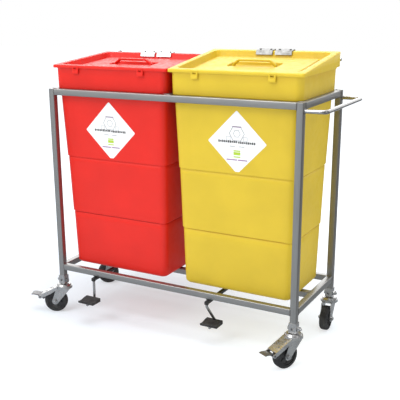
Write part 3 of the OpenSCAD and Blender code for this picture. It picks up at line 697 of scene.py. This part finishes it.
class Lid:
    """A wedge lid in millimetres about its bin's centre; heights on top are square to its tilted top."""
    half = (214, 152.5)
    corner = 8
    front_z = 855
    lip_z = 846
    rear_lip_z = 851
    wall = 2.5
    pad_inset = (48, 50)
    pocket = (81, 30)
    grip_half = 71
    latch_x = 121.5
    # Walls as (inset from or growth beyond their outline, height, corner radius)
    tray_wall = ((18, 0, 20), (19.3, -0.3, 19), (20.2, -1.3, 18.5), (20.9, -3.2, 18),
                 (25.6, -17.4, 15), (26.6, -19.3, 15), (28.4, -20.6, 15), (31, -21, 14))
    pad_wall = ((8.4, -21, 17), (6.8, -20.7, 16), (5.6, -19.6, 15), (1.2, -14.6, 14),
                (0.2, -13.4, 13), (-1.4, -13, 12), (-24, -13, 12))
    pocket_wall = ((1.6, -13, 12), (0.4, -13.4, 11), (0, -14.4, 10), (0, -19.6, 10),
                   (-0.8, -20.6, 9), (-2.4, -20.9, 8))
    under_tray = ((17.6, -2.5, 21), (18.6, -4.2, 20), (23.6, -19.4, 18), (25.6, -22.3, 17),
                  (29, -23.5, 15))
    under_pad = ((5.5, -23.5, 15), (3.4, -22.6, 14), (-0.6, -17.2, 12), (-2.6, -15.6, 11))
    under_pocket = ((4.2, -15.5, 13), (2.6, -16.6, 12), (2.5, -22.3, 12), (1.2, -23.5, 11))

    def __init__(self, colour):
        self.colour = colour
        self.origin = bin_centre(colour)
        rear_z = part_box(colour + "_lid")[1].z / MM
        self.tilt = math.atan2(rear_z - self.front_z, 2 * self.half[1])
        self.middle_z = (rear_z + self.front_z) / 2
        self.half_v = self.half[1] / math.cos(self.tilt)

    def on_top(self, x, v, w):
        """A point v up the tilted top from its middle and w above it."""
        y = v * math.cos(self.tilt) - w * math.sin(self.tilt)
        z = self.middle_z + v * math.sin(self.tilt) + w * math.cos(self.tilt)
        return self.origin + Vector((x, y, z)) * MM

    def top_z(self, y):
        return self.middle_z + y * math.tan(self.tilt)

    def top_ring(self, half, grow, w, r):
        """A ring parallel to the tilted top, grown beyond an outline given by its half sizes."""
        outline = rounded_outline(half[0] + grow, half[1] + grow, r, steps=8, flats=6)
        return [self.on_top(x, v, w) for x, v in outline]

    def side_ring(self, inset, r, height):
        """A ring on the upright skirt; height gives z from y."""
        outline = rounded_outline(self.half[0] - inset, self.half[1] - inset, r, steps=8, flats=6)
        return [self.origin + Vector((x, y, height(y))) * MM for x, y in outline]

    def lip(self, rise):
        lift = self.rear_lip_z - self.lip_z
        return lambda y: self.lip_z + rise + lift * smooth_step(y, 90, 104)

    def under_top(self, drop):
        return lambda y: self.top_z(y) - drop

    def rings(self):
        """From the middle of the underside out to the lip, over the top and in to the pocket's floor."""
        wall, corner = self.wall, self.corner
        edge = (self.half[0], self.half_v)
        pad = (edge[0] - self.pad_inset[0], edge[1] - self.pad_inset[1])
        skirt = [self.side_ring(wall, corner - wall, self.lip(0.4)),
                 self.side_ring(wall - 0.5, corner - wall, self.lip(0)),
                 self.side_ring(0.6, corner, self.lip(0)),
                 self.side_ring(0, corner, self.lip(0.7)),
                 self.side_ring(0, corner, self.under_top(2.0)),
                 self.side_ring(0.5, corner, self.under_top(0.8)),
                 self.side_ring(1.9, corner - 1, self.under_top(0.05))]
        above = ([self.top_ring(edge, -inset, w, r) for inset, w, r in self.tray_wall]
                 + [self.top_ring(pad, grow, w, r) for grow, w, r in self.pad_wall]
                 + [self.top_ring(self.pocket, grow, w, r) for grow, w, r in self.pocket_wall])
        under_skirt = [self.side_ring(wall, corner - wall, self.under_top(4.5)),
                       self.side_ring(wall + 1.2, corner - wall, self.under_top(2.9)),
                       self.side_ring(wall + 3, corner - wall - 1, self.under_top(2.5))]
        below = ([self.top_ring(edge, -inset, w, r) for inset, w, r in self.under_tray]
                 + [self.top_ring(pad, grow, w, r) for grow, w, r in self.under_pad]
                 + [self.top_ring(self.pocket, grow, w, r) for grow, w, r in self.under_pocket])
        return list(reversed(under_skirt + below)) + skirt + above


def plate_with_window(half, window, corner, place, thick):
    """A rounded plate with a rounded window; place(x, y, z) puts it where it belongs."""
    (wx, wy), (cx, cy) = window
    outer = rounded_outline(*half, corner, steps=5)
    hole = [(x + cx, y + cy) for x, y in rounded_outline(wx, wy, min(wx, wy) * 0.4, steps=5)]
    ease = 0.4
    levels = [(outer, 1, 0), (outer, 1, thick - ease), (outer, 1 - ease / half[0], thick),
              (hole, 1, thick), (hole, 1, 0)]
    rings = [[place(x * share, y * share, z) for x, y in outline] for outline, share, z in levels]
    return loft(rings, wrap=True)


def latch(place):
    """A snap latch hanging over the rim: a windowed plate with a thicker finger tab below."""
    plate = plate_with_window((11, 12), ((6, 3), (0, 5)), 2, place, 2.2)
    rings = []
    for share, z in ((1, 1.4), (1, 3.0), (0.97, 3.4), (0.9, 3.6)):
        outline = rounded_outline(10.6 * share, 4.8 * share, 1.8, steps=5)
        rings.append([place(x, y - 7, z + 0.06 * max(0, -y)) for x, y in outline])
    hinge_bar = loft([[place(x, 11.2 + y, z) for x, y in rounded_outline(9.5 - inset, 1.2 - inset, 0.5, 3)]
                      for z, inset in ((0.5, 0), (2.7, 0), (3.0, 0.4))])
    return join([plate, loft(rings), hinge_bar])


def lid_grip(lid):
    """The arch handle: a flat bar that rises from the pocket's floor at both ends."""
    foot = lid.middle_z - 22
    knee = foot + 9
    top = lid.middle_z - 0.6
    span = lid.grip_half - 3.5
    lean = 17
    corners = [Vector((-span, 0, foot)), Vector((-span, 0, knee)), Vector((lean - span, 0, top)),
               Vector((span - lean, 0, top)), Vector((span, 0, knee)), Vector((span, 0, foot))]
    path = [lid.origin + point * MM for point in filleted(corners, 12, steps=7)]
    section = [(a * MM, b * MM) for a, b in rounded_outline(3.4, 6.8, 2.6, steps=5)]
    return sweep(path, section, Vector((0, 1, 0)))


def lid_latches(lid):
    middle_z = lid.lip_z - 5
    sunk = 0.4
    latches = []
    for x in (-lid.latch_x, lid.latch_x):
        latches.append(latch(lambda a, b, c, x=x: lid.origin + Vector(
            (x + a, -lid.half[1] - c + sunk, middle_z + b)) * MM))
    return join(latches)


def build_lid(colour):
    lid = Lid(colour)
    body = colour + "_lid"
    slot = colour + "_plastic"
    plastic = PLASTIC[colour]
    piece(colour + "_lid_shell", *loft(lid.rings()), plastic, body, (colour + "_lid",), slot, 50)
    piece(colour + "_lid_grip", *lid_grip(lid), plastic, body, slot=slot, angle=60)
    piece(colour + "_lid_latches", *lid_latches(lid), plastic, body, slot=slot, angle=45)


# ---------- lid opening gear ----------

def build_hinge_rod():
    low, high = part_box("hinge_rod")
    r = half_size("hinge_rod").z
    half = (high.x - low.x) / 2
    profile = [(-half, r - 1.2 * MM), (-half + 1.2 * MM, r), (-half + 8 * MM, r),
               (-half + 8.3 * MM, r - 0.6 * MM), (-half + 9.6 * MM, r - 0.6 * MM), (-half + 9.9 * MM, r)]
    profile += [(-along, radius) for along, radius in reversed(profile)]
    piece("hinge_rod_bar", *lathe(profile, middle("hinge_rod"), Vector((1, 0, 0)), 32), ROD, "frame",
          ("hinge_rod",), "bright_rod")


def pad_outline():
    """The bent rubber pad in millimetres in front of and above its rear lower edge, ribbed on top."""
    knots = [(-1, 12.8), (-14, 12.3), (-31, 8.8), (-42, 8.3), (-49.2, 10.6)]
    top = []
    steps = 60
    for k in range(steps + 1):
        y = knots[0][0] + (knots[-1][0] - knots[0][0]) * k / steps
        for (y0, z0), (y1, z1) in zip(knots, knots[1:]):
            if y1 <= y <= y0:
                z = z0 + (z1 - z0) * (y - y0) / (y1 - y0)
        rib = 0.7 if k % 6 >= 3 and 2 < k < steps - 2 else 0
        top.append((y, z - rib))
    front = [(-49.8, 9.8), (-50, 8.5), (-50, 4.6), (-49.4, 3.6), (-43.4, 0.2)]
    return top + front + [(-0.8, 0), (0, 0.8), (0, 12)]


def pedal_rubber(origin, edge, half):
    """The pad from end to end; edge is its rear lower edge in millimetres, half its half width."""
    outline = [(y + edge[0], z + edge[1]) for y, z in pad_outline()]
    hub = Vector((sum(y for y, _ in outline), sum(z for _, z in outline))) / len(outline)
    rings = []
    for side, shrink in ((-half, 0.985), (-half + 0.8 * MM, 1), (half - 0.8 * MM, 1), (half, 0.985)):
        rings.append([origin + Vector((side, (hub.x + (y - hub.x) * shrink) * MM,
                                       (hub.y + (z - hub.y) * shrink) * MM)) for y, z in outline])
    return loft(rings)


def pedal_rod(origin, edge, r, arm_y, arm_top):
    """The bent rod: down from the lever, forward and down to the pad, and on beneath it."""
    first_bend_z = 136
    behind, under_pad = edge[0] + 5, edge[1] - r / MM
    bends = [(arm_y, arm_top), (arm_y, first_bend_z), (behind, edge[1] + 2), (behind, under_pad),
             (edge[0] - 39, under_pad)]
    path = filleted([origin + Vector((0, y, z)) * MM for y, z in bends], 9 * MM, steps=6)
    return sweep(path, circle_section(r, 20), Vector((1, 0, 0)))


def build_pedal(colour):
    body = colour + "_pedal"
    pad, arm = colour + "_pedal_pad", colour + "_pedal_arm"
    origin = Vector((middle(arm).x, CENTRE.y, 0))
    low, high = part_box(pad)
    edge = ((high.y - CENTRE.y) / MM, low.z / MM)
    rubber_mesh = pedal_rubber(origin, edge, half_size(pad).x)
    piece(colour + "_pedal_rubber", *rubber_mesh, PAD, body, (pad,), "black_rubber", 30)
    r = half_size(arm).x
    arm_y, weld_z = -178, 144.2
    rod_mesh = pedal_rod(origin, edge, r, arm_y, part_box(arm)[1].z / MM)
    piece(colour + "_pedal_rod", *rod_mesh, ROD, body, (arm,), "bright_rod")
    refined(colour + "_pedal_lever", BLACK_PAINT, 0.8 * MM)
    top = origin + Vector((0, arm_y, weld_z)) * MM
    loop = [top + Vector((x, y, 0)) for x, y in circle_section(r + 0.5 * MM, 24)]
    weld_mesh = bead_loop(loop, Vector((0, 0, 1)), 1.2 * MM)
    piece(colour + "_pedal_weld", *weld_mesh, BLACK_PAINT, body, slot="black_steel", angle=80)


def build_gear(colour):
    refined(colour + "_push_rod", ROD, 0.5 * MM)
    refined(colour + "_hinge_tube", ZINC, 0.5 * MM)
    # On the yellow lid the clips take the zinc copy darkened as painted shade.
    refined(colour + "_lid_clips", CLIP_ZINC_WITH_SHADED_COPY[colour], 0.7 * MM, segments=3)
    refined(colour + "_clip_screws", BLACK_PAINT, 0.4 * MM)


# ---------- castors ----------

def spoke(centre, axis, outward, near, far, half_width, half_thick):
    """A tapered rib in a wheel's web, from one distance to another along outward."""
    across = axis.cross(outward)
    corners = []
    for distance, share in ((near, 1.0), (far, 0.8)):
        for a, b in ((-1, -1), (1, -1), (1, 1), (-1, 1)):
            corners.append(centre + outward * distance + axis * (a * half_width * share)
                           + across * (b * half_thick))
    faces = [(0, 1, 2, 3), (7, 6, 5, 4), (0, 4, 5, 1), (1, 5, 6, 2), (2, 6, 7, 3), (3, 7, 4, 0)]
    return corners, faces


def turned_wheel(half_profile, centre, axis, count):
    """A ring turned from (half width, radius) points in millimetres, alike on both sides."""
    profile = half_profile + [(-along, r) for along, r in reversed(half_profile)]
    return lathe([(along * MM, r * MM) for along, r in profile], centre, axis, count, wrap=True)


def build_wheel(name):
    centre = middle("tyre_" + name)
    axis = Vector(JOINTS["wheel_spin_" + name]["axis"]).normalized()
    body = "wheel_" + name
    grooved_tyre = [(13, 27.9), (13, 33.8), (12.6, 35.8), (11.5, 37.6), (9.9, 39), (8, 39.75), (5.2, 40),
                    (4.8, 39.3), (3.8, 39.3), (3.4, 40)]
    piece("tyre_ring_" + name, *turned_wheel(grooved_tyre, centre, axis, 72), TYRE, body,
          ("tyre_" + name,), "castor_rubber")
    hub_disc = [(13.5, 4.1), (13.5, 8.8), (12.9, 9.8), (6, 10.8), (4.4, 12.4), (4.4, 22), (5.2, 23.4),
                (8.8, 24.2), (9.4, 25), (9.4, 27.4), (8.9, 28.05)]
    parts = [turned_wheel(hub_disc, centre, axis, 48)]
    first = axis.orthogonal().normalized()
    for k in range(6):
        outward = Matrix.Rotation(math.pi / 3 * k, 3, axis) @ first
        parts.append(spoke(centre, axis, outward, 9 * MM, 25 * MM, 8.4 * MM, 1.3 * MM))
    piece("hub_disc_" + name, *join(parts), HUB, body, ("hub_" + name,), "hub_plastic")


def build_castor(name):
    build_wheel(name)
    refined("fork_" + name, CASTOR_ZINC, 0.9 * MM, segments=3)
    refined("axle_" + name, ZINC, 0.5 * MM)
    if "brake_lever_" + name in nodes:
        refined("brake_lever_" + name, BRAKE_STEEL, 0.6 * MM)


# ---------- camera, light and floor ----------

def build_camera():
    """The photograph's view; place, turn and shift were fitted to the frame's straight edges."""
    place = CENTRE + Vector((1.1505, -2.0872, 1.0537))
    azimuth, elevation, roll = (math.radians(turn) for turn in (30.63, 16.35, -0.9))
    right = Vector((math.cos(azimuth), math.sin(azimuth), 0))
    back = Vector((math.sin(azimuth) * math.cos(elevation), -math.cos(azimuth) * math.cos(elevation),
                   math.sin(elevation)))
    up = back.cross(right)
    rolled_right = right * math.cos(roll) + up * math.sin(roll)
    rolled_up = up * math.cos(roll) - right * math.sin(roll)
    data = bpy.data.cameras.new("camera")
    data.lens = 67.55
    data.sensor_width = 36
    data.shift_x = 0.0747
    data.shift_y = 0.0473
    camera = bpy.data.objects.new("camera", data)
    turned = Matrix((rolled_right, rolled_up, back)).transposed().to_4x4()
    camera.matrix_world = Matrix.Translation(place) @ turned
    bpy.context.scene.collection.objects.link(camera)
    bpy.context.scene.camera = camera


def area_light(name, place, size, energy):
    """A round soft light that looks at the middle of the bins."""
    data = bpy.data.lights.new(name, "AREA")
    data.shape = "DISK"
    data.size = size
    data.energy = energy
    light = bpy.data.objects.new(name, data)
    light.location = place
    aim = Vector((0, 0, 0.5)) - Vector(place)
    light.rotation_euler = aim.to_track_quat("-Z", "Y").to_euler()
    bpy.context.scene.collection.objects.link(light)


def world_map(tree, source, start, end, low, high):
    """A brightness that runs from low to high as one part of the direction runs from start to end."""
    made = tree.nodes.new("ShaderNodeMapRange")
    for key, value in (("From Min", start), ("From Max", end), ("To Min", low), ("To Max", high)):
        made.inputs[key].default_value = value
    tree.links.new(source, made.inputs["Value"])
    return made.outputs["Result"]


def build_world():
    """White where it is looked at; where it is mirrored, darker to the right and brighter behind."""
    world = bpy.data.worlds.new("studio")
    world.use_nodes = True
    tree = world.node_tree
    background = tree.nodes["Background"]
    path = tree.nodes.new("ShaderNodeLightPath")
    space = tree.nodes.new("ShaderNodeTexCoord")
    split = tree.nodes.new("ShaderNodeSeparateXYZ")
    tree.links.new(space.outputs["Generated"], split.inputs[0])
    side = world_map(tree, split.outputs["X"], -0.25, 0.75, 1.0, 0.16)
    behind = world_map(tree, split.outputs["Y"], 0.1, 0.7, 1.0, 2.6)
    mirrored = tree.nodes.new("ShaderNodeMix")
    mirrored.inputs["A"].default_value = 0.55
    tree.links.new(path.outputs["Is Glossy Ray"], mirrored.inputs["Factor"])
    both = tree.nodes.new("ShaderNodeMath")
    both.operation = "MULTIPLY"
    tree.links.new(side, both.inputs[0])
    tree.links.new(behind, both.inputs[1])
    tree.links.new(both.outputs["Value"], mirrored.inputs["B"])
    seen = tree.nodes.new("ShaderNodeMix")
    seen.inputs["B"].default_value = 1.0
    tree.links.new(path.outputs["Is Camera Ray"], seen.inputs["Factor"])
    tree.links.new(mirrored.outputs["Result"], seen.inputs["A"])
    background.inputs["Color"].default_value = (1, 1, 1, 1)
    tree.links.new(seen.outputs["Result"], background.inputs["Strength"])
    bpy.context.scene.world = world
    bpy.context.scene.view_settings.view_transform = "Standard"


def build_floor():
    """A pale floor, tinted cyan against the bins' bounce light, that glows more with distance, and is dark
    to the right where it is mirrored. Its glow is painted light: weakest round shadow_middle under the red
    bin, it fills in the floor's shadows farther out.
    """
    shadow_middle = (-0.3, 0.1, 0)
    reach = 12
    graph = Graph("studio_floor")
    # The base is tinted cyan: colour painted against the red and yellow light that the bins bounce onto the
    # floor.
    cyan_against_bounce = graph.mix(graph.spread(graph.noise(3), 0, 1), (0.49, 0.55, 0.61), (0.51, 0.57, 0.63))
    graph.set(Roughness=1.0, Specular_IOR_Level=0.0, Emission_Color=(1, 1, 1, 1))
    mirrored = graph.node("ShaderNodeLightPath").outputs["Is Glossy Ray"]
    away = graph.node("ShaderNodeVectorMath", operation="DISTANCE")
    graph.link(graph.space, away.inputs[0])
    away.inputs[1].default_value = shadow_middle
    # Painted light: the glow grows away from shadow_middle, under the red bin, and fills in the floor's
    # shadows farther out.
    shadow_filling_glow = graph.node("ShaderNodeMath", operation="MULTIPLY")
    graph.link(graph.spread(away.outputs["Value"], 0.42, 0.85, 0.25, 1.2), shadow_filling_glow.inputs[0])
    graph.link(graph.spread(mirrored, 1.0, 0.2, 0, 1), shadow_filling_glow.inputs[1])
    graph.link(shadow_filling_glow.outputs["Value"], graph.shader.inputs["Emission Strength"])
    place = graph.node("ShaderNodeSeparateXYZ")
    graph.link(graph.space, place.inputs[0])
    rightward = graph.spread(place.outputs["X"], 0.25, 1.0, 0.3, 1.1)
    darker = graph.node("ShaderNodeMath", operation="MULTIPLY")
    graph.link(mirrored, darker.inputs[0])
    graph.link(rightward, darker.inputs[1])
    graph.link(graph.mix(darker.outputs["Value"], cyan_against_bounce, (0.06, 0.06, 0.06)),
               graph.shader.inputs["Base Color"])
    corners = [(reach * x, reach * y, 0) for x, y in ((-1, -1), (1, -1), (1, 1), (-1, 1))]
    data = bpy.data.meshes.new("studio_floor")
    data.from_pydata(corners, [], [(0, 1, 2, 3)])
    data.materials.append(graph.material)
    floor = bpy.data.objects.new("studio_floor", data)
    bpy.context.scene.collection.objects.link(floor)


# ---------- assembly ----------

build_frame()
build_push_handle()
for node, material, edge in (("castor_sockets", ZINC, 0.8), ("socket_bolts", ZINC, 0.4),
                             ("castor_stems", ZINC, 0.5), ("hinge_brackets", GRAIN["Z"], 0.6),
                             ("rod_guides", GRAIN["Z"], 0.6), ("pivot_brackets", GRAIN["Z"], 0.5),
                             ("pivot_pins", ZINC, 0.5), ("pedal_stops", PAD, 0.8)):
    refined(node, material, edge * MM)
build_hinge_rod()
for colour in COLOURS:
    build_bin(colour)
    build_label(colour)
    build_lid(colour)
    build_gear(colour)
    build_pedal(colour)
for name in CORNERS:
    build_castor(name)
build_camera()
build_world()
build_floor()
area_light("key", (-1.6, -3.2, 3.4), 2.6, 95)
area_light("top", (0.2, -0.2, 3.2), 2.2, 50)
area_light("fill_right", (3.2, -0.6, 1.6), 2.0, 10)
